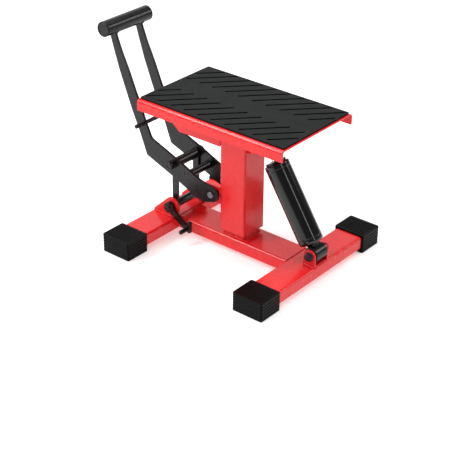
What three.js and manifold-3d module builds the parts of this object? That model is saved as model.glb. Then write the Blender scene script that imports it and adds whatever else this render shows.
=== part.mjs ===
// Motorcycle paddock (lift) stand: welded base, telescoping column with a flanged
// platform, hand lever on swinging links, foot pedal and a telescopic damper.
// Millimetres, +Z up.  +X runs from the lever end to the damper end.
// Shapes are laid out from the floor point under the middle of the column; the whole
// model is then moved by SHIFT_X so that its origin is the bottom centre of its own box.
import * as THREE from 'three';
import { mergeVertices } from 'three/addons/utils/BufferGeometryUtils.js';
import Module from 'manifold-3d';

const wasm = await Module();
wasm.setup();

// ------------------------------------------------------------ driving sizes
const SHIFT_X = 64.65;                    // puts the origin under the middle of the overall box
const GAP = 0.3;                       // clearance kept between touching pieces
const BAR_Z0 = 9.5, BAR_Z1 = 39.5;     // base tubes: underside and top
const XBAR_X = 182.5, XBAR_W = 67;     // crossbar centre lines and width
const XBAR_HALF = 201;                 // crossbar half length
const BEAM_HALF_Y = 38.5;              // centre beam half width
const TUBE_WALL = 2.6, TUBE_R = 5;
const CAP_LEN = 62.5, CAP_OUT = 209, CAP_H = 43.4, CAP_W = 76;
const COL_X = 34, COL_Y = 35, COL_WALL = 3, COL_Z0 = 51;   // outer column
const MAST = 28, MAST_WALL = 3, MAST_Z1 = 262;             // inner column
const TRAY_X = 192.5, TRAY_Y = 118, TRAY_TOP = 338, TRAY_T = 3, TRAY_R = 8, TRAY_Z0 = 313;
const MAT_X = 189.5, MAT_Y = 110.5, MAT_TOP = 342;
const GROOVE_PITCH = 36.2, GROOVE_W = 5.2, GROOVE_D = 2.2;
const AXLE = [-161, 66];               // link foot / pedal shaft axis (x, z)
const FULC = [-161, 167];              // lever fulcrum axis
const HEEL = [-53, 128.5];             // lever end pivot on the column ears
const GRIP = [-332.8, 443.6];          // handle tube axis
const GRIP_R = 17, GRIP_Y = 67;        // handle tube radius and half length
const ROD_HOLE = [-247.5, 238.7];      // thin cross rod through both lever bars
const SPACER = [-122, 151.5];          // welded tube between the lever bars
const BAR_IN = 37, BAR_OUT = 43;       // lever bars, |y|
const LINK_IN = 32, LINK_OUT = 36.6;   // link bars, |y|
const EAR_IN = 44, EAR_OUT = 50;       // rear base ears, |y|
const SLOT_X = [-69, -37.2], SLOT_R = 8.2; // clearance slot in the column ears
const DAMP0 = [200.5, 63];             // damper lower eye axis
const DAMP1 = [66, 272];               // damper upper eye axis
const DAMP_R = 27, ROD_R = 7;
const CLEV_IN = 20, CLEV_OUT = 24, EYE_HALF = 19, EYE_R = 17;

// ------------------------------------------------------------------ helpers
const group = new THREE.Group();
const MATS = {
  red:     { color: 0xd9232b, roughness: 0.28, metalness: 0.1 },
  black:   { color: 0x1c1d1f, roughness: 0.42, metalness: 0.25 },
  damper:  { color: 0x0d0e10, roughness: 0.18, metalness: 0.3 },
  rubber:  { color: 0x2c2e2d, roughness: 0.78, metalness: 0.0 },
  foot:    { color: 0x17181a, roughness: 0.7, metalness: 0.0 },
  chrome:  { color: 0xd8dadd, roughness: 0.08, metalness: 1.0 },
  bolt:    { color: 0x232528, roughness: 0.36, metalness: 0.85 },
  plastic: { color: 0xe8e6df, roughness: 0.5, metalness: 0.0 },
  steel:   { color: 0x9fa3a8, roughness: 0.3, metalness: 0.95 },
};

function solid(geo) {
  const g = geo.clone();
  for (const k of Object.keys(g.attributes)) if (k !== 'position') g.deleteAttribute(k);
  const m = mergeVertices(g, 1e-4);
  let s = new wasm.Manifold(new wasm.Mesh({
    numProp: 3,
    vertProperties: new Float32Array(m.attributes.position.array),
    triVerts: new Uint32Array(m.index.array),
  }));
  if (s.volume() < 0) throw new Error('inside-out solid');
  return s;
}
function geometryOf(s) {
  const m = s.getMesh();
  const pos = new Float32Array((m.vertProperties.length / m.numProp) * 3);
  for (let i = 0; i < pos.length / 3; i++)
    for (let k = 0; k < 3; k++) pos[3 * i + k] = m.vertProperties[m.numProp * i + k];
  const g = new THREE.BufferGeometry();
  g.setAttribute('position', new THREE.BufferAttribute(pos, 3));
  g.setIndex(new THREE.BufferAttribute(new Uint32Array(m.triVerts), 1));
  g.computeVertexNormals();
  return g;
}
function add(name, s, mat) {
  const p = MATS[mat];
  const mesh = new THREE.Mesh(s instanceof THREE.BufferGeometry ? s : geometryOf(s),
    new THREE.MeshStandardMaterial({ color: p.color, roughness: p.roughness, metalness: p.metalness }));
  mesh.name = name;
  group.add(mesh);
  return mesh;
}
const at = (g, x, y, z) => { g.translate(x, y, z); return g; };
function box(x0, x1, y0, y1, z0, z1) {
  return solid(at(new THREE.BoxGeometry(x1 - x0, y1 - y0, z1 - z0), (x0 + x1) / 2, (y0 + y1) / 2, (z0 + z1) / 2));
}
// outline in x, z pulled along y from y0 to y1, with an optional small bevel
function slab(shape, y0, y1, bevel = 0, curve = 5) {
  const d = y1 - y0;
  const g = new THREE.ExtrudeGeometry(shape, {
    depth: d - 2 * bevel, curveSegments: curve,
    bevelEnabled: bevel > 0, bevelThickness: bevel, bevelSize: bevel, bevelOffset: -bevel, bevelSegments: 1,
  });
  g.translate(0, 0, bevel);
  g.rotateX(Math.PI / 2);            // local z -> world -y
  g.translate(0, y1, 0);
  return solid(g);
}
// outline in y, z pulled along x
function slabX(shape, x0, x1, curve = 4) {
  const g = new THREE.ExtrudeGeometry(shape, { depth: x1 - x0, curveSegments: curve, bevelEnabled: false });
  g.rotateX(Math.PI / 2);            // x stays, y -> z, z -> -y
  g.rotateZ(Math.PI / 2);            // x -> y, -y -> x
  g.translate(x0, 0, 0);
  return solid(g);
}
// outline in x, y pulled along z
function slabZ(shape, z0, z1, bevel = 0, curve = 4) {
  const g = new THREE.ExtrudeGeometry(shape, {
    depth: z1 - z0 - 2 * bevel, curveSegments: curve,
    bevelEnabled: bevel > 0, bevelThickness: bevel, bevelSize: bevel, bevelOffset: -bevel, bevelSegments: 1,
  });
  g.translate(0, 0, z0 + bevel);
  return solid(g);
}
function rounded(x0, x1, y0, y1, r) {
  const s = new THREE.Shape();
  s.moveTo(x0 + r, y0); s.lineTo(x1 - r, y0); s.absarc(x1 - r, y0 + r, r, -Math.PI / 2, 0, false);
  s.lineTo(x1, y1 - r); s.absarc(x1 - r, y1 - r, r, 0, Math.PI / 2, false);
  s.lineTo(x0 + r, y1); s.absarc(x0 + r, y1 - r, r, Math.PI / 2, Math.PI, false);
  s.lineTo(x0, y0 + r); s.absarc(x0 + r, y0 + r, r, Math.PI, 1.5 * Math.PI, false);
  return s;
}
// polygon with each corner rounded by its own radius: [x, z, r]
function filleted(pts) {
  const s = new THREE.Shape();
  const n = pts.length;
  for (let i = 0; i < n; i++) {
    const [px, pz] = pts[(i + n - 1) % n], [x, z, r = 0] = pts[i], [qx, qz] = pts[(i + 1) % n];
    const a = new THREE.Vector2(px - x, pz - z).normalize(), b = new THREE.Vector2(qx - x, qz - z).normalize();
    if (r > 0) {
      const half = Math.acos(Math.min(1, Math.max(-1, a.dot(b)))) / 2;
      const t = r / Math.tan(half);
      const s0 = [x + a.x * t, z + a.y * t], s1 = [x + b.x * t, z + b.y * t];
      const c = a.clone().add(b).normalize().multiplyScalar(r / Math.sin(half));
      const cx = x + c.x, cz = z + c.y;
      const a0 = Math.atan2(s0[1] - cz, s0[0] - cx), a1 = Math.atan2(s1[1] - cz, s1[0] - cx);
      const cross = a.x * b.y - a.y * b.x;
      if (i === 0) s.moveTo(...s0); else s.lineTo(...s0);
      s.absarc(cx, cz, r, a0, a1, cross > 0);
    } else if (i === 0) s.moveTo(x, z); else s.lineTo(x, z);
  }
  s.closePath();
  return s;
}
const circle = (x, z, r) => { const s = new THREE.Shape(); s.absarc(x, z, r, 0, 2 * Math.PI, false); return s; };
// round bar along y
function rodY(r, y0, y1, [x, z], seg = 28) {
  const g = new THREE.CylinderGeometry(r, r, y1 - y0, seg);
  return solid(at(g, x, (y0 + y1) / 2, z));
}
// turned piece along y: profile [radius, y] from one end of the axis to the other
function turnY(profile, [x, z], seg = 28) {
  const g = new THREE.LatheGeometry(profile.map(([r, y]) => new THREE.Vector2(r, y)), seg);
  return solid(at(g, x, 0, z));
}
const ringY = (ro, ri, y0, y1, c, seg = 24) => rodY(ro, y0, y1, c, seg).subtract(rodY(ri, y0 - 1, y1 + 1, c, seg));
// hexagon head or nut along y
function hexY(af, y0, y1, c) {
  const g = new THREE.CylinderGeometry(af / Math.sqrt(3), af / Math.sqrt(3), y1 - y0, 6);
  g.rotateY(Math.PI / 6);
  return solid(at(g, c[0], (y0 + y1) / 2, c[1]));
}
const rectTube = (shapeOut, shapeIn, fn, a, b) => fn(shapeOut, a, b).subtract(fn(shapeIn, a - 1, b + 1));

// ------------------------------------------------------------------ base
{
  const o = rounded(-BEAM_HALF_Y, BEAM_HALF_Y, BAR_Z0, BAR_Z1, TUBE_R);
  const i = rounded(-BEAM_HALF_Y + TUBE_WALL, BEAM_HALF_Y - TUBE_WALL, BAR_Z0 + TUBE_WALL, BAR_Z1 - TUBE_WALL, TUBE_R - 2);
  const hx = XBAR_X - XBAR_W / 2 - GAP;
  add('centre_beam', rectTube(o, i, slabX, -hx, hx), 'red');
}
for (const [name, cx] of [['rear_crossbar', -XBAR_X], ['front_crossbar', XBAR_X]]) {
  const x0 = cx - XBAR_W / 2, x1 = cx + XBAR_W / 2;
  const o = rounded(x0, x1, BAR_Z0, BAR_Z1, TUBE_R);
  const i = rounded(x0 + TUBE_WALL, x1 - TUBE_WALL, BAR_Z0 + TUBE_WALL, BAR_Z1 - TUBE_WALL, TUBE_R - 2);
  add(name, slab(o, -XBAR_HALF, XBAR_HALF, 0, 4).subtract(slab(i, -XBAR_HALF - 1, XBAR_HALF + 1, 0, 4)), 'red');
}
for (const [end, cx] of [['rear', -XBAR_X], ['front', XBAR_X]]) {
  for (const [side, sy] of [['near', -1], ['far', 1]]) {
    const y0 = Math.min(sy * (CAP_OUT - CAP_LEN), sy * CAP_OUT), y1 = Math.max(sy * (CAP_OUT - CAP_LEN), sy * CAP_OUT);
    const hw = CAP_W / 2;
    let s = slabZ(rounded(cx - hw, cx + hw, y0, y1, 4), 0, CAP_H, 0, 3);
    // pocket for the crossbar, open toward the middle
    const py0 = sy < 0 ? -XBAR_HALF - GAP : y0 - 5, py1 = sy < 0 ? y1 + 5 : XBAR_HALF + GAP;
    s = s.subtract(slab(rounded(cx - XBAR_W / 2 - GAP, cx + XBAR_W / 2 + GAP, BAR_Z0 - GAP, BAR_Z1 + GAP, TUBE_R + GAP), py0, py1, 0, 3));
    // gripping ribs: shallow grooves round the sides and along the top
    for (let k = 0; k < 5; k++) {
      const z = 6.2 + 7 * k;
      const cut = box(cx - 60, cx + 60, y0 - 20, y1 + 20, z, z + 2)
        .subtract(box(cx - hw + 0.9, cx + hw - 0.9, y0 - 30, y1 - (sy > 0 ? 0.9 : -30), z - 1, z + 3)
          .intersect(box(cx - 60, cx + 60, y0 + (sy < 0 ? 0.9 : -30), y1 + 30, z - 1, z + 3)));
      s = s.subtract(cut);
    }
    for (let k = 0; k < 7; k++) {
      const y = y0 + 7 + 7.4 * k;
      s = s.subtract(box(cx - hw + 4, cx + hw - 4, y, y + 1.8, CAP_H - 0.9, CAP_H + 1));
    }
    add(`foot_cap_${end}_${side}`, s, 'foot');
  }
}
{
  const o = rounded(-MAST, MAST, -MAST, MAST, 4), i = rounded(-MAST + MAST_WALL, MAST - MAST_WALL, -MAST + MAST_WALL, MAST - MAST_WALL, 2);
  add('inner_column', slabZ(o, BAR_Z1 + GAP, MAST_Z1).subtract(slabZ(i, BAR_Z1 - 1, MAST_Z1 + 1)), 'red');
  // glide cap on top of the inner column, running inside the outer one
  const gx = COL_X - COL_WALL - 0.4, gy = COL_Y - COL_WALL - 0.4;
  add('upper_glide', slabZ(rounded(-gx, gx, -gy, gy, 3), MAST_Z1 - 26, MAST_Z1 + 4)
    .subtract(slabZ(rounded(-MAST - GAP, MAST + GAP, -MAST - GAP, MAST + GAP, 4), MAST_Z1 - 30, MAST_Z1 + GAP))
    .subtract(slabZ(rounded(-18, 18, -18, 18, 3), MAST_Z1 - 5, MAST_Z1 + 9)), 'plastic');
}
for (const [side, sy] of [['near', -1], ['far', 1]]) {
  const z0 = BAR_Z1 + GAP, [ax, az] = AXLE;
  const foot = filleted([[-214, z0, 0], [-143, z0, 0], [ax + 20, az - 6, 4], [ax + 20, az, 0],
    [ax + 14.1, az + 14.1, 0], [ax, az + 20, 0], [ax - 14.1, az + 14.1, 0], [-214, z0 + 4, 3]]);
  let s = slab(foot, Math.min(sy * EAR_IN, sy * EAR_OUT), Math.max(sy * EAR_IN, sy * EAR_OUT))
    .add(rodY(20, Math.min(sy * EAR_IN, sy * EAR_OUT), Math.max(sy * EAR_IN, sy * EAR_OUT), AXLE, 24));
  s = s.subtract(rodY(6.3, -60, 60, AXLE, 20));
  add(`rear_ear_${side}`, s, 'red');
}
{
  // front clevis: a bent channel standing on the front crossbar
  const z0 = BAR_Z1 + GAP, zt = z0 + 4.5, [dx, dz] = DAMP0;
  const ear = (y0, y1) => slab(filleted([[dx - 17, z0, 0], [dx + 14.5, z0, 0], [dx + 14.5, dz, 0], [dx - 14.5, dz, 0], [dx - 17, dz - 8, 4]]), y0, y1)
    .add(rodY(14.5, y0, y1, DAMP0, 28));
  let s = box(dx - 17, dx + 14.5, -CLEV_OUT, CLEV_OUT, z0, zt).add(ear(-CLEV_OUT, -CLEV_IN)).add(ear(CLEV_IN, CLEV_OUT));
  add('damper_lower_clevis', s.subtract(rodY(6.3, -40, 40, DAMP0, 20)), 'red');
}
// damper bolts: shank with hexagon head on the near side, nut on the far side
for (const [where, c] of [['lower', DAMP0], ['upper', DAMP1]]) {
  add(`damper_${where}_bolt`, hexY(19, -CLEV_OUT - GAP - 7.5, -CLEV_OUT - GAP, c)
    .add(rodY(6, -CLEV_OUT - GAP - 1, CLEV_OUT + 11, c, 20)), 'bolt');
  add(`damper_${where}_nut`, hexY(19, CLEV_OUT + GAP, CLEV_OUT + GAP + 8.5, c)
    .subtract(rodY(6.3, 0, 60, c, 20)), 'bolt');
}

// ------------------------------------------------------------ lifting frame
{
  const o = rounded(-COL_X, COL_X, -COL_Y, COL_Y, 5);
  const i = rounded(-COL_X + COL_WALL, COL_X - COL_WALL, -COL_Y + COL_WALL, COL_Y - COL_WALL, 3);
  const top = TRAY_TOP - TRAY_T - GAP;
  add('outer_column', slabZ(o, COL_Z0, top).subtract(slabZ(i, COL_Z0 - 1, top + 1)), 'red');
  const gx = COL_X - COL_WALL - GAP, gy = COL_Y - COL_WALL - GAP;
  add('lower_glide', slabZ(rounded(-gx, gx, -gy, gy, 2.8), COL_Z0 + 1, COL_Z0 + 31)
    .subtract(slabZ(rounded(-MAST - 0.4, MAST + 0.4, -MAST - 0.4, MAST + 0.4, 4.2), COL_Z0 - 1, COL_Z0 + 40)), 'plastic');
}
{
  // top plate with both long sides bent down
  const R = TRAY_R, r = R - TRAY_T, y = TRAY_Y, t = TRAY_TOP, b = TRAY_Z0;
  const s = new THREE.Shape();
  s.moveTo(-y, b); s.lineTo(-y + TRAY_T, b); s.lineTo(-y + TRAY_T, t - R);
  s.absarc(-y + R, t - R, r, Math.PI, Math.PI / 2, true);
  s.lineTo(y - R, t - TRAY_T); s.absarc(y - R, t - R, r, Math.PI / 2, 0, true);
  s.lineTo(y - TRAY_T, b); s.lineTo(y, b); s.lineTo(y, t - R);
  s.absarc(y - R, t - R, R, 0, Math.PI / 2, false);
  s.lineTo(-y + R, t); s.absarc(-y + R, t - R, R, Math.PI / 2, Math.PI, false);
  s.closePath();
  add('platform_tray', slabX(s, -TRAY_X, TRAY_X, 5), 'red');
}
{
  let s = slabZ(rounded(-MAT_X, MAT_X, -MAT_Y, MAT_Y, 3), TRAY_TOP + GAP, MAT_TOP, 0.5, 2);
  const cuts = [];
  for (const [y0, y1, x0] of [[-101, -25, -185.5], [26, 107, -180.5]]) {
    for (let k = -1; k < 10; k++) {
      let a = [x0 + GROOVE_PITCH * k, y0], b = [a[0] + (y1 - y0) * 0.95, y1];
      const m = (b[1] - a[1]) / (b[0] - a[0]), lim = MAT_X - 5;
      if (a[0] < -lim) a = [-lim, a[1] + m * (-lim - a[0])];
      if (b[0] > lim) b = [lim, b[1] - m * (b[0] - lim)];
      if (b[0] - a[0] < 8) continue;
      const L = Math.hypot(b[0] - a[0], b[1] - a[1]);
      const g = new THREE.ExtrudeGeometry(rounded(-L / 2, L / 2, -GROOVE_W / 2, GROOVE_W / 2, GROOVE_W / 2 - 0.05), { depth: 4, curveSegments: 1, bevelEnabled: false });
      g.rotateZ(Math.atan2(b[1] - a[1], b[0] - a[0]));
      g.translate((a[0] + b[0]) / 2, (a[1] + b[1]) / 2, MAT_TOP - GROOVE_D);
      cuts.push(solid(g));
    }
  }
  for (const c of cuts) s = s.subtract(c);
  add('rubber_mat', s, 'rubber');
}
for (const [side, sy] of [['near', -1], ['far', 1]]) {
  const ya = sy < 0 ? -35.5 : 32, yb = sy < 0 ? -32 : 35.5, top = TRAY_TOP - TRAY_T - GAP;
  add(`under_gusset_${side}`, slab(filleted([[-COL_X - GAP, top], [-182, top], [-182, 272, 3], [-168.5, 262.5, 6], [-149, 246.5, 8], [-COL_X - GAP, 246.5]]), ya, yb), 'red');
  const pa = sy < 0 ? -33.5 : 28.5, pb = sy < 0 ? -28.5 : 33.5;
  const [hx, hz] = HEEL;
  let ear = slab(filleted([[-COL_X - GAP, 109.5], [-77, 109.5, 9], [-77, 147.5, 9], [-COL_X - GAP, 147.5]]), pa, pb, 0, 6);
  ear = ear.subtract(slab(rounded(SLOT_X[0], SLOT_X[1], hz - SLOT_R, hz + SLOT_R, 5.6), -60, 60, 0, 6));
  add(`column_ear_${side}`, ear, 'red');
}
{
  // damper head bracket on the front of the column
  const [dx, dz] = DAMP1, x0 = COL_X + GAP;
  const cheek = (y0, y1) => slab(filleted([[x0, dz - 24], [x0 + 5, dz - 24], [dx, dz - 14], [dx, dz + 14], [x0 + 5, dz + 19], [x0, dz + 19]]), y0, y1)
    .add(rodY(14, y0, y1, DAMP1, 28));
  let s = box(x0, x0 + 4.5, -CLEV_OUT, CLEV_OUT, dz - 24, dz + 19).add(cheek(-CLEV_OUT, -CLEV_IN)).add(cheek(CLEV_IN, CLEV_OUT));
  add('damper_upper_bracket', s.subtract(rodY(6.3, -40, 40, DAMP1, 20)), 'red');
}

// ------------------------------------------------------------ links
for (const [side, sy] of [['near', -1], ['far', 1]]) {
  const y0 = Math.min(sy * LINK_IN, sy * LINK_OUT), y1 = Math.max(sy * LINK_IN, sy * LINK_OUT);
  let s = box(AXLE[0] - 8.3, AXLE[0] + 8.3, y0, y1, AXLE[1], FULC[1])
    .add(rodY(12, y0, y1, AXLE, 28)).add(rodY(12, y0, y1, FULC, 28));
  s = s.subtract(rodY(6.3, -60, 60, AXLE, 20)).subtract(rodY(7.3, -60, 60, FULC, 20));
  add(`link_bar_${side}`, s, 'black');
  const c0 = Math.min(sy * (LINK_OUT + GAP), sy * (EAR_IN - GAP)), c1 = Math.max(sy * (LINK_OUT + GAP), sy * (EAR_IN - GAP));
  add(`axle_spacer_${side}`, ringY(9, 6.3, c0, c1, AXLE, 20), 'black');
}
add('axle_sleeve', ringY(9, 6.3, -LINK_IN + GAP, LINK_IN - GAP, AXLE, 24), 'black');
add('fulcrum_tube', ringY(11, 7.3, -LINK_IN + GAP, LINK_IN - GAP, FULC, 28), 'black');

// ------------------------------------------------------------ lever
const leverOutline = filleted([
  [-339.5, 433, 0], [-338.5, 424, 60], [-328, 390, 0], [-314, 348, 0], [-297, 305, 0], [-280, 263, 0], [-256.5, 212, 0],
  [-238.5, 165.5, 6], [-161, 136.8, 0], [-123, 120.6, 0], [-97, 108.5, 10], [-74, 103.6, 8], [-40, 114.8, 8], [-31.8, 130, 9], [-36, 142.5, 8],
  [-88, 155, 20], [-145, 179.6, 0], [-224, 209.5, 16], [-242, 246, 0], [-250, 267.5, 0], [-269, 309.5, 0],
  [-287, 351.5, 0], [-307, 392.4, 0], [-319.5, 423, 0], [-322, 433, 0]]);
for (const [side, sy] of [['near', -1], ['far', 1]]) {
  const y0 = Math.min(sy * BAR_IN, sy * BAR_OUT), y1 = Math.max(sy * BAR_IN, sy * BAR_OUT);
  let s = slab(leverOutline, y0, y1, 0, 3);
  s = s.subtract(rodY(GRIP_R + GAP, -60, 60, GRIP, 40))
    .subtract(rodY(7.3, -60, 60, FULC, 20))
    .subtract(rodY(5.3, -60, 60, HEEL, 18))
    .subtract(rodY(4.8, -60, 60, ROD_HOLE, 16));
  add(`lever_bar_${side}`, s, 'black');
}
add('handle_tube', ringY(GRIP_R, GRIP_R - 2.6, -GRIP_Y, GRIP_Y, GRIP, 32), 'black');
for (const [side, sy] of [['near', -1], ['far', 1]]) {
  const p = sy < 0
    ? [[0, -70.3], [15.7, -70.3], [17, -69], [17, -67.3], [14, -67.3], [14, -53], [0, -53]]
    : [[0, 53], [14, 53], [14, 67.3], [17, 67.3], [17, 69], [15.7, 70.3], [0, 70.3]];
  add(`handle_end_cap_${side}`, turnY(p, GRIP, 32), 'black');
}
add('cross_rod', turnY([[0, -67], [3.6, -67], [4.5, -66], [4.5, 46], [3.6, 47], [0, 47]], ROD_HOLE, 20), 'black');
add('lever_spacer', rodY(9, -BAR_IN + GAP, BAR_IN - GAP, SPACER, 28), 'black');
add('fulcrum_axle', turnY([[0, -57.5], [8.2, -57.5], [9.2, -56.5], [9.2, -BAR_OUT - GAP], [7, -BAR_OUT - GAP], [7, 53], [6.2, 54], [0, 54]], FULC, 28), 'bolt');
add('fulcrum_nut', hexY(22, BAR_OUT + GAP, BAR_OUT + GAP + 9, FULC).subtract(rodY(7.3, 0, 80, FULC, 20)), 'bolt');
add('pivot_bolt', turnY([[0, -46.6], [5.6, -46.6], [7.2, -45.4], [7.5, -44.2], [7.5, -BAR_OUT - GAP], [5, -BAR_OUT - GAP], [5, 51], [4.3, 52], [0, 52]], HEEL, 24), 'bolt');
add('pivot_nut', hexY(16, BAR_OUT + GAP, BAR_OUT + GAP + 7, HEEL).subtract(rodY(5.3, 0, 80, HEEL, 18)), 'bolt');

// ------------------------------------------------------------ foot pedal
{
  const tip = [-106.5, 31.5];
  const ang = Math.atan2(tip[1] - AXLE[1], tip[0] - AXLE[0]);
  add('pedal_shaft', turnY([[0, -EAR_OUT - 14.6], [5, -EAR_OUT - 14.6], [6, -EAR_OUT - 13.6], [6, EAR_OUT + 11], [5, EAR_OUT + 12], [0, EAR_OUT + 12]], AXLE, 24), 'bolt');
  const yo = -EAR_OUT - 12.3, yi = -EAR_OUT - GAP;
  const len = Math.hypot(tip[0] - AXLE[0], tip[1] - AXLE[1]);
  const arm = filleted([[0, -9.6, 0], [len, -8.2, 0], [len + 6, -4.6, 3], [len + 6, 4.6, 3], [len, 5.4, 0], [0, 6.2, 0]]);
  const g = new THREE.ExtrudeGeometry(arm, { depth: 6, curveSegments: 6, bevelEnabled: false });
  g.rotateX(Math.PI / 2);
  g.rotateY(-ang);
  g.translate(AXLE[0], yo + 8.3, AXLE[1]);
  let s = solid(g).add(rodY(12, yo, yi, AXLE, 32)).subtract(rodY(6.3, -90, 0, AXLE, 24));
  // upright tab at the arm's end
  s = s.add(slab(filleted([[-107, 22.5, 3], [-97.5, 22.5, 3], [-97.5, 50.5, 3], [-107, 50.5, 3]]), yo + 1.5, yo + 8.3, 0, 5));
  s = s.subtract(rodY(5.3, yo - 5, yo + 4.3, tip, 20));
  add('pedal_arm', s, 'black');
  add('pedal_peg', turnY([[0, yo - 21], [3.9, yo - 21], [5, yo - 19.9], [5, yo + 4], [0, yo + 4]], tip, 20), 'black');
  add('pedal_nut', hexY(18, EAR_OUT + GAP, EAR_OUT + GAP + 8, AXLE).subtract(rodY(6.3, 0, 80, AXLE, 20)), 'bolt');
}

// ------------------------------------------------------------ damper
{
  const ax = new THREE.Vector3(DAMP1[0] - DAMP0[0], 0, DAMP1[1] - DAMP0[1]);
  const len = ax.length(); ax.normalize();
  const q = new THREE.Quaternion().setFromUnitVectors(new THREE.Vector3(0, 1, 0), ax);
  // turned pieces about the damper axis: profile [radius, distance from lower eye]
  const turnD = (profile, seg = 36) => {
    const g = new THREE.LatheGeometry(profile.map(([r, t]) => new THREE.Vector2(r, t)), seg);
    g.applyQuaternion(q);
    return solid(at(g, DAMP0[0], 0, DAMP0[1]));
  };
  add('damper_body', turnD([[0, 20.5], [18, 20.5], [23, 22], [26, 25.4], [DAMP_R, 30], [DAMP_R, 202], [25, 205],
    [21, 205], [21, 26], [0, 26]], 36), 'damper');
  add('damper_gland', turnD([[ROD_R + 0.3, 190], [20.7, 190], [20.7, 205.3], [22.3, 205.3], [22.3, 208.6], [20.5, 210.4], [ROD_R + 0.3, 210.4], [ROD_R + 0.3, 190]], 32), 'damper');
  add('damper_lower_eye', rodY(EYE_R, -EYE_HALF, EYE_HALF, DAMP0, 36)
    .add(turnD([[0, 8], [12.5, 8], [12.5, 20.2], [0, 20.2]], 28))
    .subtract(rodY(10, -40, 40, DAMP0, 28)), 'black');
  add('lower_eye_bush', ringY(9.7, 6.3, -EYE_HALF, EYE_HALF, DAMP0, 28), 'rubber');
  add('damper_rod', turnD([[0, 36], [6, 36], [ROD_R, 37], [ROD_R, len - 27], [0, len - 27]], 28), 'chrome');
  add('damper_piston', turnD([[ROD_R + 0.3, 40], [20.5, 40], [20.5, 54], [ROD_R + 0.3, 54], [ROD_R + 0.3, 40]], 28), 'steel');
  add('damper_upper_eye', rodY(EYE_R, -EYE_HALF, EYE_HALF, DAMP1, 36)
    .add(turnD([[0, len - 26.7], [10, len - 26.7], [11, len - 25.5], [11, len - 8], [0, len - 8]], 28))
    .subtract(rodY(10, -40, 40, DAMP1, 28)), 'black');
}

const stand = new THREE.Group();
group.position.x = SHIFT_X;
stand.add(group);
export default stand;
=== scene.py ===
import bpy, bmesh, math
import numpy as np
from mathutils import Vector, Matrix
from mathutils.geometry import tessellate_polygon


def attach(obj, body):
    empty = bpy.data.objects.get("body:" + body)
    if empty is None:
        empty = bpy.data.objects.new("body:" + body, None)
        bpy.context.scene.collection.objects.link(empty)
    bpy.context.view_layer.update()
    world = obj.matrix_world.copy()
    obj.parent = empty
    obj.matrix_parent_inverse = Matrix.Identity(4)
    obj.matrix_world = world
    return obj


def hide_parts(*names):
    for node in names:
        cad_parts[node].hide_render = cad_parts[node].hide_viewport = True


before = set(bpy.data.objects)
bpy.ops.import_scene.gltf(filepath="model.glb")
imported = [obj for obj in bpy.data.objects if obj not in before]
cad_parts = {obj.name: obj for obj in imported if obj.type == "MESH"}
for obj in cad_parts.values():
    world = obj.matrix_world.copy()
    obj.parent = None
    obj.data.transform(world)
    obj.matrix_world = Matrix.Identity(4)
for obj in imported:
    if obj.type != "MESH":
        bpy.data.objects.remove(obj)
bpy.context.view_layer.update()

# ---------------------------------------------------------------- sizes (mm)
SX = 64.65                                  # the column stands at x = +64.65 of the part's origin
GAP = 0.3
BAR_Z0, BAR_Z1 = 9.5, 39.5
XBAR_X, XBAR_W, XBAR_HALF, BEAM_HALF_Y = 182.5, 67.0, 201.0, 38.5
CAP_LEN, CAP_OUT, CAP_H, CAP_W = 62.5, 209.0, 43.4, 76.0
COL_X, COL_Y, COL_Z0 = 34.0, 35.0, 51.0
MAST, MAST_Z1 = 28.0, 262.0
TRAY_X, TRAY_Y, TRAY_TOP, TRAY_T, TRAY_R, TRAY_Z0 = 192.5, 118.0, 338.0, 3.0, 8.0, 313.0
MAT_X, MAT_Y, MAT_TOP = 189.5, 110.5, 342.0
AXLE, FULC, HEEL = (-161.0, 66.0), (-161.0, 167.0), (-53.0, 128.5)
GRIP, ROD_HOLE, SPACER = (-332.8, 443.6), (-247.5, 238.7), (-122.0, 151.5)
BAR_IN, BAR_OUT, LINK_IN, LINK_OUT, EAR_IN, EAR_OUT = 37.0, 43.0, 32.0, 36.6, 44.0, 50.0
SLOT_X, SLOT_R = (-69.0, -37.2), 8.2
DAMP0, DAMP1 = (200.5, 63.0), (66.0, 272.0)
DAMP_R, ROD_R = 27.0, 7.0
CLEV_IN, CLEV_OUT, EYE_HALF, EYE_R = 20.0, 24.0, 19.0, 17.0
DV = np.array([DAMP1[0] - DAMP0[0], 0.0, DAMP1[1] - DAMP0[1]])
DLEN = float(np.linalg.norm(DV)); DV = DV / DLEN
DU = np.array([-DV[2], 0.0, DV[0]]) * -1.0   # across the damper, in the x-z plane

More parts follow.
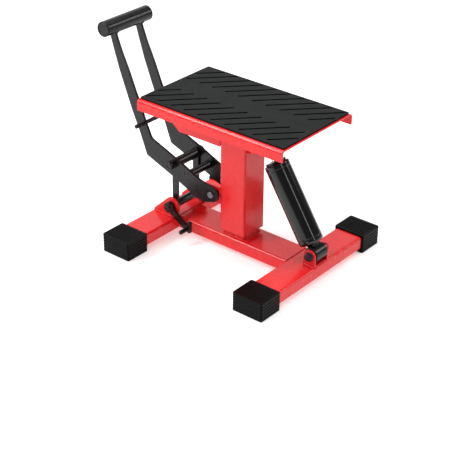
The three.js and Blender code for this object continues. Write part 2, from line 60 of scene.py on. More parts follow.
# ---------------------------------------------------------------- outlines
def arc(cx, cy, r, a0, a1, n):
    return [(cx + r * math.cos(a0 + (a1 - a0) * i / n), cy + r * math.sin(a0 + (a1 - a0) * i / n)) for i in range(n + 1)]
def circle(cx, cy, r, n=48):
    return [(cx + r * math.cos(2 * math.pi * i / n), cy + r * math.sin(2 * math.pi * i / n)) for i in range(n)]
def rounded(x0, x1, y0, y1, r, n=7):
    h = math.pi / 2
    return (arc(x1 - r, y0 + r, r, -h, 0, n) + arc(x1 - r, y1 - r, r, 0, h, n)
            + arc(x0 + r, y1 - r, r, h, 2 * h, n) + arc(x0 + r, y0 + r, r, 2 * h, 3 * h, n))
def filleted(pts, step=7.0):
    out, n = [], len(pts)
    for i in range(n):
        p, q, s = np.array(pts[i - 1][:2], float), pts[i], np.array(pts[(i + 1) % n][:2], float)
        c = np.array(q[:2], float); r = q[2] if len(q) > 2 else 0.0
        a, b = p - c, s - c
        a, b = a / np.linalg.norm(a), b / np.linalg.norm(b)
        dot = max(-1.0, min(1.0, float(a @ b)))
        if r <= 0 or dot < -0.99999:
            out.append(tuple(c)); continue
        half = math.acos(dot) / 2
        t = r / math.tan(half)
        s0, s1 = c + a * t, c + b * t
        m = a + b; m = m / np.linalg.norm(m) * (r / math.sin(half)) + c
        a0, a1 = math.atan2(s0[1] - m[1], s0[0] - m[0]), math.atan2(s1[1] - m[1], s1[0] - m[0])
        d = (a1 - a0 + math.pi) % (2 * math.pi) - math.pi
        k = max(2, int(abs(math.degrees(d)) / step) + 1)
        out += arc(m[0], m[1], r, a0, a0 + d, k)
    return out
def area(l):
    return 0.5 * sum(l[i - 1][0] * l[i][1] - l[i][0] * l[i - 1][1] for i in range(len(l)))
def tidy(l, eps=1e-4):
    o = []
    for p in l:
        if not o or math.hypot(p[0] - o[-1][0], p[1] - o[-1][1]) > eps:
            o.append((float(p[0]), float(p[1])))
    if math.hypot(o[0][0] - o[-1][0], o[0][1] - o[-1][1]) <= eps:
        o.pop()
    return o
def inset(l, d):
    n, out = len(l), []
    for i in range(n):
        p0, p, p1 = l[i - 1], l[i], l[(i + 1) % n]
        e0, e1 = (p[0] - p0[0], p[1] - p0[1]), (p1[0] - p[0], p1[1] - p[1])
        h0, h1 = math.hypot(*e0), math.hypot(*e1)
        n0, n1 = (-e0[1] / h0, e0[0] / h0), (-e1[1] / h1, e1[0] / h1)
        k = max(0.35, 1 + n0[0] * n1[0] + n0[1] * n1[1])
        out.append((p[0] + d * (n0[0] + n1[0]) / k, p[1] + d * (n0[1] + n1[1]) / k))
    return out

# ---------------------------------------------------------------- solids
PLANES = {"XZ": lambda u, v, w: (u, w, v), "YZ": lambda u, v, w: (w, u, v), "XY": lambda u, v, w: (u, v, w)}
def plate(loops, w0, w1, plane="XZ", bevel=0.6, nb=3, put=None):
    """A flat piece: first loop is the outline, the rest are holes; every edge is rounded."""
    put = put or PLANES[plane]
    ls = []
    for k, l in enumerate(loops):
        l = tidy(l)
        if (area(l) > 0) != (k == 0):
            l = l[::-1]
        ls.append(l)
    rings = []
    for j in range(nb, -1, -1):
        a = j * math.pi / 2 / nb
        rings.append((bevel * (1 - math.cos(a)), w0 + bevel * (1 - math.sin(a))))
    for j in range(nb + 1):
        a = j * math.pi / 2 / nb
        rings.append((bevel * (1 - math.cos(a)), w1 - bevel * (1 - math.sin(a))))
    V, F, start = [], [], []
    for ins, w in rings:
        row = []
        for l in ls:
            row.append(len(V))
            V += [put(u, v, w) for u, v in inset(l, ins)]
        start.append(row)
    for r in range(len(rings) - 1):
        for k, l in enumerate(ls):
            a, b, n = start[r][k], start[r + 1][k], len(l)
            F += [(a + i, a + (i + 1) % n, b + (i + 1) % n, b + i) for i in range(n)]
    for r in (0, len(rings) - 1):
        flat = [inset(l, rings[r][0]) for l in ls]
        idx = [start[r][k] + i for k, l in enumerate(ls) for i in range(len(l))]
        for t in tessellate_polygon([[Vector((u, v, 0)) for u, v in l] for l in flat]):
            F.append(tuple(idx[i] for i in t))
    return V, F
def soften(prof, r=0.4, n=2, closed=False):
    """Rounds the corners of a turned profile."""
    out, m = [], len(prof)
    for i, p in enumerate(prof):
        if not closed and (i == 0 or i == m - 1):
            out.append(tuple(p[:2])); continue
        c = np.array(p[:2], float); rr = p[2] if len(p) > 2 else r
        a, b = np.array(prof[i - 1][:2], float) - c, np.array(prof[(i + 1) % m][:2], float) - c
        la, lb = np.linalg.norm(a), np.linalg.norm(b)
        t = min(rr, la * 0.45, lb * 0.45)
        if t <= 0.01 or abs(float(a @ b) / (la * lb)) > 0.995:
            out.append(tuple(c)); continue
        a, b = c + a / la * t, c + b / lb * t
        for k in range(n + 1):
            s = k / n
            out.append(tuple((1 - s) ** 2 * a + 2 * s * (1 - s) * c + s * s * b))
    return out
def lathe(prof, put, n=56, closed=False, wave=None):
    V, F, rows = [], [], []
    for r, t in prof:
        if r < 1e-6:
            rows.append([len(V)]); V.append(put(0, 0, t)); continue
        rows.append(list(range(len(V), len(V) + n)))
        for i in range(n):
            a = 2 * math.pi * i / n
            V.append(put(r * math.cos(a), r * math.sin(a), t))
    pairs = list(zip(rows, rows[1:])) + ([(rows[-1], rows[0])] if closed else [])
    for A, B in pairs:
        if len(A) == 1 and len(B) == 1:
            continue
        for i in range(n):
            j = (i + 1) % n
            if len(A) == 1: F.append((A[0], B[j], B[i]))
            elif len(B) == 1: F.append((A[i], A[j], B[0]))
            else: F.append((A[i], A[j], B[j], B[i]))
    return V, F
def along_y(c):
    return lambda a, b, t: (c[0] + a, t, c[1] + b)
def along_d(a, b, t):
    p = np.array([DAMP0[0], 0.0, DAMP0[1]]) + DV * t + DU * a + np.array([0, b, 0])
    return (float(p[0]), float(p[1]), float(p[2]))
def turned(prof, c, n=56, r=0.4):
    return lathe(soften(prof, r), along_y(c), n)
def ring_y(ro, ri, y0, y1, c, n=56, r=0.5):
    return lathe(soften([(ri, y0), (ro, y0), (ro, y1), (ri, y1)], r, closed=True), along_y(c), n, closed=True)
def hexhead(c, y0, y1, af, top, dome=0.0, bore=0.0, turn=0.0, recess=0.0):
    """Hexagon head or nut with the usual 30 degree chamfer; `top` is +1 when the far face points along +Y."""
    n, R0 = 96, af / 2 * 0.985
    base, end = (y0, y1) if top > 0 else (y1, y0)
    H = abs(y1 - y0); sg = 1 if top > 0 else -1
    def hexr(a):
        k = (a - turn + math.pi / 6) % (math.pi / 3) - math.pi / 6
        return af / 2 / math.cos(k)
    V, F, rows = [], [], []
    def ring(fr, fh):
        rows.append(len(V))
        for i in range(n):
            a = 2 * math.pi * i / n
            r = fr(hexr(a)); h = fh(hexr(a))
            V.append((c[0] + r * math.cos(a), base + sg * h, c[1] + r * math.sin(a)))
    t30 = math.tan(math.radians(30))
    ring(lambda R: R0 * 0.99, lambda R: 0.0)
    ring(lambda R: min(R, R0 + 0.25), lambda R: 0.35)
    ring(lambda R: R, lambda R: 0.35 + max(0.0, R - R0) * 0.5)
    ring(lambda R: R, lambda R: H - 0.25 - max(0.0, R - R0) * t30)
    ring(lambda R: min(R, R0 + 0.1) - 0.1, lambda R: H - 0.04)
    ring(lambda R: R0 - 0.7, lambda R: H)
    if bore > 0:
        ring(lambda R: bore + 0.7, lambda R: H)
        ring(lambda R: bore, lambda R: H - 0.7)
        ring(lambda R: bore, lambda R: 0.0)
    else:
        ring(lambda R: R0 * 0.7, lambda R: H + dome * 0.75 - recess * 0.2)
        ring(lambda R: R0 * 0.35, lambda R: H + dome * 0.97 - recess)
    for a, b in zip(rows, rows[1:]):
        F += [(a + i, a + (i + 1) % n, b + (i + 1) % n, b + i) for i in range(n)]
    if bore > 0:
        a, b = rows[-1], rows[0]
        F += [(a + i, a + (i + 1) % n, b + (i + 1) % n, b + i) for i in range(n)]
    else:
        V.append((c[0], base + sg * (H + dome - recess), c[1])); k = len(V) - 1
        F += [(rows[-1] + i, rows[-1] + (i + 1) % n, k) for i in range(n)]
        F.append(tuple(range(rows[0], rows[0] + n)))
    return V, F
def bead(path, r, up, pitch=2.6, closed=False, seed=0, n=9, squash=1.0):
    """A run of weld: overlapping ripples along a path."""
    P = [np.array(p, float) for p in path]
    if closed: P.append(P[0])
    L = [0.0]
    for a, b in zip(P, P[1:]): L.append(L[-1] + float(np.linalg.norm(b - a)))
    total, k = L[-1], max(6, int(L[-1] / (pitch / 4.0)))
    rng = np.random.RandomState(100 + seed)
    wob = rng.rand(int(total / pitch) + 3) * 0.16 - 0.08
    up = np.array(up, float); V, F = [], []
    m = k if closed else k + 1
    for i in range(m):
        s = total * i / k
        j = min(len(P) - 2, max(0, int(np.searchsorted(L, s, side="right")) - 1))
        f = (s - L[j]) / max(1e-9, L[j + 1] - L[j])
        c = P[j] * (1 - f) + P[j + 1] * f
        s2 = min(total, s + 0.6); j2 = min(len(P) - 2, max(0, int(np.searchsorted(L, s2, side="right")) - 1))
        f2 = (s2 - L[j2]) / max(1e-9, L[j2 + 1] - L[j2])
        s3 = max(0.0, s - 0.6); j3 = min(len(P) - 2, max(0, int(np.searchsorted(L, s3, side="right")) - 1))
        f3 = (s3 - L[j3]) / max(1e-9, L[j3 + 1] - L[j3])
        t = (P[j2] * (1 - f2) + P[j2 + 1] * f2) - (P[j3] * (1 - f3) + P[j3 + 1] * f3)
        t = t / (np.linalg.norm(t) + 1e-9)
        u = up - t * float(up @ t); u = u / (np.linalg.norm(u) + 1e-9); v = np.cross(t, u)
        ph = (s / pitch) % 1.0
        w = wob[int(s / pitch)]
        rr = r * (0.86 + w + 0.2 * (1 - ph) * min(1.0, ph * 6))
        if not closed:
            e = min(s, total - s); rr *= min(1.0, 0.25 + 0.75 * (e / (1.2 * r)))
        for q in range(n):
            a = 2 * math.pi * q / n
            V.append(tuple(c + u * rr * math.cos(a) * squash + v * rr * math.sin(a)))
    for i in range(m if closed else m - 1):
        a, b = i * n, ((i + 1) % m) * n
        F += [(a + q, a + (q + 1) % n, b + (q + 1) % n, b + q) for q in range(n)]
    if not closed:
        F.append(tuple(range(n))[::-1]); F.append(tuple(range((m - 1) * n, m * n)))
    return V, F
def join(*parts):
    V, F = [], []
    for v, f in parts:
        k = len(V); V += list(v); F += [tuple(i + k for i in q) for q in f]
    return V, F
def box_vf(x0, x1, y0, y1, z0, z1):
    V = [(x, y, z) for x in (x0, x1) for y in (y0, y1) for z in (z0, z1)]
    return V, [(0, 1, 3, 2), (4, 6, 7, 5), (0, 4, 5, 1), (2, 3, 7, 6), (0, 2, 6, 4), (1, 5, 7, 3)]

def to_mesh(name, vf):
    me = bpy.data.meshes.new(name)
    me.from_pydata([((x + SX) * 0.001, y * 0.001, z * 0.001) for x, y, z in vf[0]], [], [list(f) for f in vf[1]])
    bm = bmesh.new(); bm.from_mesh(me)
    bmesh.ops.remove_doubles(bm, verts=bm.verts, dist=1e-7)
    bmesh.ops.dissolve_degenerate(bm, edges=bm.edges, dist=1e-7)
    bmesh.ops.recalc_face_normals(bm, faces=bm.faces)
    bm.to_mesh(me); bm.free()
    return me
def piece(name, vf, body, mat, nodes=(), smooth=42.0, me=None):
    me = me or to_mesh(name, vf)
    o = bpy.data.objects.new(name, me)
    bpy.context.scene.collection.objects.link(o)
    me.polygons.foreach_set("use_smooth", [True] * len(me.polygons))
    me.set_sharp_from_angle(angle=math.radians(smooth))
    w = o.modifiers.new("normals", "WEIGHTED_NORMAL"); w.weight = 80; w.keep_sharp = True
    me.materials.clear(); me.materials.append(mat)
    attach(o, body)
    if nodes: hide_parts(*nodes)
    return o
def cut(a, b, op="INTERSECT"):
    """Boolean of two (verts, faces) solids, as a mesh in metres."""
    oa = bpy.data.objects.new("tmp_a", to_mesh("tmp_a", a)); ob = bpy.data.objects.new("tmp_b", to_mesh("tmp_b", b))
    for o in (oa, ob): bpy.context.scene.collection.objects.link(o)
    m = oa.modifiers.new("b", "BOOLEAN"); m.object = ob; m.operation = op; m.solver = "EXACT"
    me = bpy.data.meshes.new_from_object(oa.evaluated_get(bpy.context.evaluated_depsgraph_get()))
    for o in (oa, ob): bpy.data.objects.remove(o)
    return me
def edge_round(me, width, seg=2, angle=40):
    """Rounds the sharp edges of a mesh in metres."""
    o = bpy.data.objects.new("tmp_r", me); bpy.context.scene.collection.objects.link(o)
    bm = bmesh.new(); bm.from_mesh(me)
    bmesh.ops.remove_doubles(bm, verts=bm.verts, dist=1e-6)
    bmesh.ops.dissolve_limit(bm, angle_limit=math.radians(2), verts=bm.verts, edges=bm.edges)
    bm.to_mesh(me); bm.free()
    m = o.modifiers.new("r", "BEVEL"); m.width = width * 0.001; m.segments = seg
    m.limit_method = "ANGLE"; m.angle_limit = math.radians(angle)
    m.use_clamp_overlap = True
    out = bpy.data.meshes.new_from_object(o.evaluated_get(bpy.context.evaluated_depsgraph_get()))
    bpy.data.objects.remove(o)
    return out

# ---------------------------------------------------------------- materials
def lin(c):
    return tuple(((x / 255) / 12.92) if x <= 10 else (((x / 255) + 0.055) / 1.055) ** 2.4 for x in c) + (1.0,)
class Nodes:
    def __init__(self, name):
        self.m = bpy.data.materials.new(name); self.m.use_nodes = True
        self.t = self.m.node_tree; self.t.nodes.clear()
        self.out = self.t.nodes.new("ShaderNodeOutputMaterial")
        self.b = self.t.nodes.new("ShaderNodeBsdfPrincipled")
        self.t.links.new(self.b.outputs[0], self.out.inputs[0])
        self.co = self.t.nodes.new("ShaderNodeTexCoord").outputs["Object"]
    def n(self, kind, **kw):
        x = self.t.nodes.new("ShaderNode" + kind)
        for k, v in kw.items():
            if hasattr(x, k): setattr(x, k, v)
            else: x.inputs[k].default_value = v
        return x
    def link(self, a, b): self.t.links.new(a, b)
    def noise(self, scale, detail=3.0, rough=0.55, co=None):
        x = self.n("TexNoise"); x.inputs["Scale"].default_value = scale
        x.inputs["Detail"].default_value = detail; x.inputs["Roughness"].default_value = rough
        self.link(co or self.co, x.inputs["Vector"]); return x.outputs["Fac"]
    def ramp(self, fac, a, b, lo=0.0, hi=1.0):
        x = self.n("MapRange"); x.inputs["From Min"].default_value = a; x.inputs["From Max"].default_value = b
        x.inputs["To Min"].default_value = lo; x.inputs["To Max"].default_value = hi
        x.clamp = True
        self.link(fac, x.inputs["Value"]); return x.outputs[0]
    def math(self, op, a, b=None):
        x = self.n("Math"); x.operation = op
        for i, v in enumerate((a, b)):
            if v is None: continue
            if isinstance(v, (int, float)): x.inputs[i].default_value = v
            else: self.link(v, x.inputs[i])
        return x.outputs[0]
    def mix(self, fac, a, b):
        x = self.n("Mix"); x.data_type = "RGBA"
        fi, ai, bi = x.inputs[0], x.inputs[6], x.inputs[7]
        for s, v in ((fi, fac), (ai, a), (bi, b)):
            if isinstance(v, (int, float)): s.default_value = v
            elif isinstance(v, tuple): s.default_value = v
            else: self.link(v, s)
        return x.outputs[2]
    def edges(self, radius=0.0012):
        """1 along convex and concave edges, 0 on flats."""
        bv = self.n("Bevel"); bv.samples = 4; bv.inputs["Radius"].default_value = radius
        g = self.n("NewGeometry")
        d = self.n("VectorMath"); d.operation = "DOT_PRODUCT"
        self.link(bv.outputs[0], d.inputs[0]); self.link(g.outputs["Normal"], d.inputs[1])
        return self.ramp(d.outputs["Value"], 0.995, 0.80)
    def bump(self, height, strength, dist, prev=None):
        x = self.n("Bump"); x.inputs["Strength"].default_value = strength; x.inputs["Distance"].default_value = dist
        self.link(height, x.inputs["Height"])
        if prev is not None: self.link(prev, x.inputs["Normal"])
        return x.outputs["Normal"]
def paint(name, base, dark, light, rough, rvar, peel=420.0, peel_s=0.10, fine=2600.0, fine_s=0.04, coat=0.0, coat_r=0.08, spec=0.5, metal=0.0, wear=None, wear_amt=0.5):
    k = Nodes(name)
    big = k.ramp(k.noise(7.0, 3.0), 0.35, 0.68)
    col = k.mix(k.math("MULTIPLY", big, 0.55), base, dark)
    small = k.ramp(k.noise(160.0, 2.0), 0.45, 0.75)
    col = k.mix(k.math("MULTIPLY", small, 0.25), col, light)
    e = k.edges()
    # painted highlight: the coat is lightened along edges, partly for the thinner paint there and partly standing in
    # for the lit edge lines
    col = k.mix(k.math("MULTIPLY", e, 0.35), col, light)
    if wear is not None:
        spots = k.ramp(k.noise(330.0, 4.0, 0.7), 0.60, 0.68)
        col = k.mix(k.math("MULTIPLY", k.math("MULTIPLY", e, spots), wear_amt), col, wear)
    k.link(col, k.b.inputs["Base Color"])
    r = k.math("ADD", rough - rvar / 2, k.math("MULTIPLY", k.ramp(k.noise(46.0, 4.0), 0.3, 0.7), rvar))
    k.link(k.math("ADD", r, k.math("MULTIPLY", e, 0.06)), k.b.inputs["Roughness"])
    nrm = k.bump(k.noise(peel, 1.5), peel_s, 0.00035)
    nrm = k.bump(k.noise(fine, 2.0), fine_s, 0.0001, nrm)
    k.link(nrm, k.b.inputs["Normal"])
    k.b.inputs["Metallic"].default_value = metal
    k.b.inputs["Specular IOR Level"].default_value = spec
    if coat > 0:
        k.b.inputs["Coat Weight"].default_value = coat
        k.b.inputs["Coat Roughness"].default_value = coat_r
    return k.m
def rubber(name, base, dark, light, rough, grain=1500.0, grain_s=0.35, spec=0.35, dust=0.25, recess_shade_z=None):
    k = Nodes(name)
    col = k.mix(k.ramp(k.noise(26.0, 5.0), 0.35, 0.7), base, dark)
    d = k.ramp(k.noise(210.0, 6.0, 0.7), 0.55, 0.8)
    col = k.mix(k.math("MULTIPLY", d, dust), col, light)
    e = k.edges(0.0009)
    # painted highlight: the rubber is lightened along its edges, standing in for light catching them
    col = k.mix(k.math("MULTIPLY", e, 0.3), col, light)
    if recess_shade_z:
        # painted shade: the moulded recesses are darkened toward their floor, standing in for the shade inside them
        sep = k.n("SeparateXYZ"); k.link(k.co, sep.inputs[0])
        f = k.ramp(k.math("MULTIPLY", k.math("SUBTRACT", sep.outputs[2], recess_shade_z[0]), 1.0 / (recess_shade_z[1] - recess_shade_z[0])), 0.0, 1.0)
        col = k.mix(f, lin((7, 7, 7)), col)
    k.link(col, k.b.inputs["Base Color"])
    k.link(k.math("ADD", rough - 0.05, k.math("MULTIPLY", k.noise(90.0, 4.0), 0.12)), k.b.inputs["Roughness"])
    v = k.n("TexVoronoi"); v.feature = "F1"; v.inputs["Scale"].default_value = grain; k.link(k.co, v.inputs["Vector"])
    nrm = k.bump(v.outputs["Distance"], grain_s, 0.00012)
    nrm = k.bump(k.noise(420.0, 3.0), 0.10, 0.0003, nrm)
    k.link(nrm, k.b.inputs["Normal"])
    k.b.inputs["Specular IOR Level"].default_value = spec
    return k.m
def metal(name, base, dark, rough, rvar, axis="y", turned_s=0.05, scale=900.0, metallic=1.0):
    k = Nodes(name)
    sc = {"y": (6.0, scale, 6.0), "x": (scale, 6.0, 6.0), "z": (6.0, 6.0, scale), "d": (scale * 0.54, 6.0, scale * 0.84), "all": (220.0, 220.0, 220.0)}[axis]
    mp = k.n("Mapping"); mp.inputs["Scale"].default_value = sc; k.link(k.co, mp.inputs["Vector"])
    lines = k.noise(1.0, 4.0, 0.6, mp.outputs[0])
    col = k.mix(k.ramp(k.noise(60.0, 5.0), 0.3, 0.7), base, dark)
    e = k.edges(0.0007)
    # painted highlight: the metal is lightened along its edges, standing in for light catching them
    col = k.mix(k.math("MULTIPLY", e, 0.25), col, tuple(min(1.0, c * 1.6 + 0.02) for c in base[:3]) + (1.0,))
    k.link(col, k.b.inputs["Base Color"])
    k.link(k.math("ADD", rough - rvar / 2, k.math("MULTIPLY", k.ramp(lines, 0.3, 0.7), rvar)), k.b.inputs["Roughness"])
    k.link(k.bump(lines, turned_s, 0.0001), k.b.inputs["Normal"])
    k.b.inputs["Metallic"].default_value = metallic
    return k.m
RED = paint("gloss_red_powder_coat", lin((230, 28, 32)), lin((218, 23, 27)), lin((236, 38, 42)), 0.26, 0.06,
            peel=520.0, peel_s=0.012, fine=2400.0, fine_s=0.006, coat=0.28, coat_r=0.10, spec=0.26, wear=lin((120, 12, 18)), wear_amt=0.35)
BLACK = paint("satin_black_powder_coat", lin((16, 16, 17)), lin((11, 11, 12)), lin((40, 40, 42)), 0.26, 0.08, spec=0.32,
              peel=700.0, peel_s=0.09, fine=2200.0, fine_s=0.07, wear=lin((96, 97, 100)), wear_amt=0.4)
GLOSS = paint("gloss_black_paint", lin((9, 9, 10)), lin((6, 6, 7)), lin((22, 22, 24)), 0.15, 0.05,
              peel=260.0, peel_s=0.04, spec=0.35, coat=0.25, coat_r=0.06, wear=lin((80, 80, 84)), wear_amt=0.2)
# the mat's groove floors get painted shade below the given heights
MATR = rubber("mat_rubber", lin((25, 26, 26)), lin((20, 21, 21)), lin((74, 75, 74)), 0.54, grain=1300.0, grain_s=0.35, spec=0.11, recess_shade_z=(0.3404, 0.3418))
FOOT = rubber("foot_rubber", lin((6, 6, 6)), lin((4, 4, 4)), lin((46, 46, 46)), 0.34, grain=1800.0, grain_s=0.2, spec=0.08, dust=0.03)
CAPP = rubber("cap_plastic", lin((16, 16, 17)), lin((12, 12, 13)), lin((40, 40, 42)), 0.28, grain=2600.0, grain_s=0.12, spec=0.3, dust=0.08)
NYLON = rubber("natural_nylon", lin((226, 224, 214)), lin((214, 211, 199)), lin((240, 238, 230)), 0.42, grain=900.0, grain_s=0.06, spec=0.4, dust=0.2)
BOLT = metal("black_zinc", lin((66, 64, 72)), lin((44, 43, 50)), 0.34, 0.12, "all", 0.12, metallic=0.85)
PIN = metal("grey_steel", lin((128, 130, 134)), lin((104, 106, 110)), 0.36, 0.12, "all", 0.10)
CHROME = metal("hard_chrome", lin((228, 230, 234)), lin((214, 217, 222)), 0.07, 0.04, "d", 0.02, 1600.0)
STEEL = metal("machined_steel", lin((190, 193, 198)), lin((168, 171, 176)), 0.26, 0.12, "d", 0.10, 1400.0)

# ---------------------------------------------------------------- base
hx = XBAR_X - XBAR_W / 2 - GAP
piece("beam", plate([rounded(-BEAM_HALF_Y, BEAM_HALF_Y, BAR_Z0, BAR_Z1, 5), rounded(-BEAM_HALF_Y + 2.6, BEAM_HALF_Y - 2.6, BAR_Z0 + 2.6, BAR_Z1 - 2.6, 2.6)],
                    -hx, hx, "YZ", 0.4), "base", RED, ["centre_beam"])
for nm, cx in (("rear", -XBAR_X), ("front", XBAR_X)):
    x0, x1 = cx - XBAR_W / 2, cx + XBAR_W / 2
    piece(f"crossbar_{nm}", plate([rounded(x0, x1, BAR_Z0, BAR_Z1, 5), rounded(x0 + 2.6, x1 - 2.6, BAR_Z0 + 2.6, BAR_Z1 - 2.6, 2.6)],
                                  -XBAR_HALF, XBAR_HALF, "XZ", 0.4), "base", RED, [f"{nm}_crossbar"])

def foot_cap(cx, sy):
    """Moulded rubber foot: ribbed sides, a ribbed top inside a plain border, rounded outer corners."""
    hw, y0, y1 = CAP_W / 2, min(sy * (CAP_OUT - CAP_LEN), sy * CAP_OUT), max(sy * (CAP_OUT - CAP_LEN), sy * CAP_OUT)
    prof = [(1.6, 0.0), (0.9, 0.2), (0.3, 0.7), (0.0, 1.5)]
    for k in range(5):
        z = 7.2 + 7 * k
        prof += [(0.0, z - 1.7), (0.12, z - 1.25), (0.8, z - 0.95), (1.35, z - 0.45), (1.35, z + 0.45), (0.8, z + 0.95), (0.12, z + 1.25), (0.0, z + 1.7)]
    prof += [(0.0, CAP_H - 1.9), (0.25, CAP_H - 1.3)]
    V, F, n = [], [], None
    for d, z in prof:
        ring = rounded(cx - hw + d, cx + hw - d, y0 + d, y1 - d, 4.0 - d * 0.6, 6)
        n = len(ring); V += [(x, y, z) for x, y in ring]
    for r in range(len(prof) - 1):
        a, b = r * n, (r + 1) * n
        F += [(a + i, a + (i + 1) % n, b + (i + 1) % n, b + i) for i in range(n)]
    F.append(tuple(range(n))[::-1]); F.append(tuple(range((len(prof) - 1) * n, len(prof) * n)))
    # top skin with long parallel slots
    holes = []
    for k in range(7):
        y = y0 + 7.9 + 7.4 * k
        holes.append(rounded(cx - hw + 4.5, cx + hw - 4.5, y - 1.25, y + 1.25, 1.2, 3))
    top = plate([rounded(cx - hw + 0.25, cx + hw - 0.25, y0 + 0.25, y1 - 0.25, 3.85, 6)] + holes, CAP_H - 1.35, CAP_H, "XY", 0.45, 3)
    # lip round the tube at the open end
    ye = y1 if sy < 0 else y0
    lip = plate([rounded(cx - 35.6, cx + 35.6, 7.6, 41.6, 5.8, 5), rounded(cx - 33.3, cx + 33.3, BAR_Z0 - 0.1, BAR_Z1 + 0.15, 5.0, 5)],
                min(ye, ye - sy * 0.9), max(ye, ye - sy * 0.9), "XZ", 0.35, 2)
    return join((V, F), top, lip)
for e, cx in (("rear", -XBAR_X), ("front", XBAR_X)):
    for s, sy in (("near", -1), ("far", 1)):
        piece(f"foot_{e}_{s}", foot_cap(cx, sy), "base", FOOT, [f"foot_cap_{e}_{s}"], 50)

piece("mast", plate([rounded(-MAST, MAST, -MAST, MAST, 4.5), rounded(-MAST + 3, MAST - 3, -MAST + 3, MAST - 3, 2)], BAR_Z1 + 0.1, MAST_Z1, "XY", 0.4),
      "base", RED, ["inner_column"])
gx, gy = COL_X - 3.4, COL_Y - 3.4
piece("glide_top", join(plate([rounded(-gx, gx, -gy, gy, 3), rounded(-MAST - GAP, MAST + GAP, -MAST - GAP, MAST + GAP, 4)], MAST_Z1 - 26, MAST_Z1 + 0.6, "XY", 0.5),
                        plate([rounded(-gx, gx, -gy, gy, 3), rounded(-18, 18, -18, 18, 3)], MAST_Z1 + 0.3, MAST_Z1 + 4, "XY", 0.5)),
      "base", NYLON, ["upper_glide"])

def rear_ear(sy):
    z0, (ax, az) = BAR_Z1 + 0.1, AXLE
    body = [(-214, z0), (-143, z0), (-141.3, az - 6)] + arc(ax, az, 20, 0.0, math.radians(140), 22) + [(-210, z0 + 7.5), (-214, z0 + 3)]
    return plate([body, circle(ax, az, 6.3, 40)], min(sy * EAR_IN, sy * EAR_OUT), max(sy * EAR_IN, sy * EAR_OUT), "XZ", 0.8)
for s, sy in (("near", -1), ("far", 1)):
    piece(f"ear_rear_{s}", rear_ear(sy), "base", RED, [f"rear_ear_{s}"])

def u_section(lo, hi, half_in, half_out, rin, rout):
    """Outline of a bent U: base at `lo`, arms up to `hi`."""
    t = half_out - half_in
    pts = [(-half_out, hi)] + arc(-half_out + rout, lo + rout, rout, math.pi, 1.5 * math.pi, 8) + arc(half_out - rout, lo + rout, rout, 1.5 * math.pi, 2 * math.pi, 8) + [(half_out, hi), (half_in, hi)]
    pts += arc(half_in - rin, lo + t + rin, rin, 0, -math.pi / 2, 6) + arc(-half_in + rin, lo + t + rin, rin, -math.pi / 2, -math.pi, 6) + [(-half_in, hi)]
    return pts
dx, dz = DAMP0
z0 = BAR_Z1 + 0.1
side = [(dx - 17, z0 - 5), (dx + 14.5, z0 - 5), (dx + 14.5, dz)] + arc(dx, dz, 14.5, 0, math.pi, 28)[1:] + [(dx - 14.5, dz - 6), (dx - 17, dz - 12)]
me = cut(plate([u_section(z0, dz + 30, CLEV_IN, CLEV_OUT, 2.5, 5.5)], dx - 40, dx + 40, "YZ", 0.01, 1), plate([side, circle(dx, dz, 6.2, 40)], -60, 60, "XZ", 0.01, 1))
piece("clevis_lower", None, "base", RED, ["damper_lower_clevis"], 40, edge_round(me, 0.7, 3, 35))

def damper_bolt(c, name, body):
    head = hexhead(c, -CLEV_OUT - GAP - 7.3, -CLEV_OUT - GAP - 1.4, 17.6, -1, dome=0.35, turn=0.3, recess=0.0)
    flange = lathe(soften([(0, -CLEV_OUT - 2.2), (8.6, -CLEV_OUT - 2.2), (10.2, -CLEV_OUT - 1.2), (10.4, -CLEV_OUT - 0.15), (6, -CLEV_OUT - 0.05)], 0.4), along_y(c), 56)
    shank = turned([(0, -CLEV_OUT - 1), (6, -CLEV_OUT - 1), (6, CLEV_OUT + 9.8), (5, CLEV_OUT + 11), (0, CLEV_OUT + 11)], c)
    piece(f"{name}_bolt", join(head, flange, shank), body, BOLT, [f"damper_{'lower' if c is DAMP0 else 'upper'}_bolt"], 30)
    nut = join(hexhead(c, CLEV_OUT + GAP + 1.2, CLEV_OUT + GAP + 8.4, 17.6, 1, bore=6.05, turn=0.1),
               lathe(soften([(6.1, CLEV_OUT + 0.1), (10.3, CLEV_OUT + 0.1), (10.3, CLEV_OUT + 1.1), (8.8, CLEV_OUT + 1.9), (6.1, CLEV_OUT + 1.9)], 0.3, closed=True), along_y(c), 56, closed=True))
    piece(f"{name}_nut", nut, body, BOLT, [f"damper_{'lower' if c is DAMP0 else 'upper'}_nut"], 30)
damper_bolt(DAMP0, "clevis_lower", "base")
damper_bolt(DAMP1, "bracket_upper", "lift")

# ---------------------------------------------------------------- lifting frame
top = TRAY_TOP - TRAY_T - 0.1
piece("column", plate([rounded(-COL_X, COL_X, -COL_Y, COL_Y, 5), rounded(-COL_X + 3, COL_X - 3, -COL_Y + 3, COL_Y - 3, 2.4)], COL_Z0, top, "XY", 0.5),
      "lift", RED, ["outer_column"])
gx, gy = COL_X - 3.2, COL_Y - 3.2
piece("glide_bottom", plate([rounded(-gx, gx, -gy, gy, 2.8), rounded(-MAST - 0.4, MAST + 0.4, -MAST - 0.4, MAST + 0.4, 4.4)], COL_Z0 + 1, COL_Z0 + 31, "XY", 0.5),
      "lift", NYLON, ["lower_glide"])
R, r, y, t, b, h = TRAY_R, TRAY_R - TRAY_T, TRAY_Y, TRAY_TOP, TRAY_Z0, math.pi / 2
tray = ([(-y, b), (-y + TRAY_T, b)] + arc(-y + R, t - R, r, math.pi, h, 12) + arc(y - R, t - R, r, h, 0, 12)
        + [(y - TRAY_T, b), (y, b)] + arc(y - R, t - R, R, 0, h, 12) + arc(-y + R, t - R, R, h, math.pi, 12))
piece("tray", plate([tray], -TRAY_X, TRAY_X, "YZ", 0.7, 3), "lift", RED, ["platform_tray"])

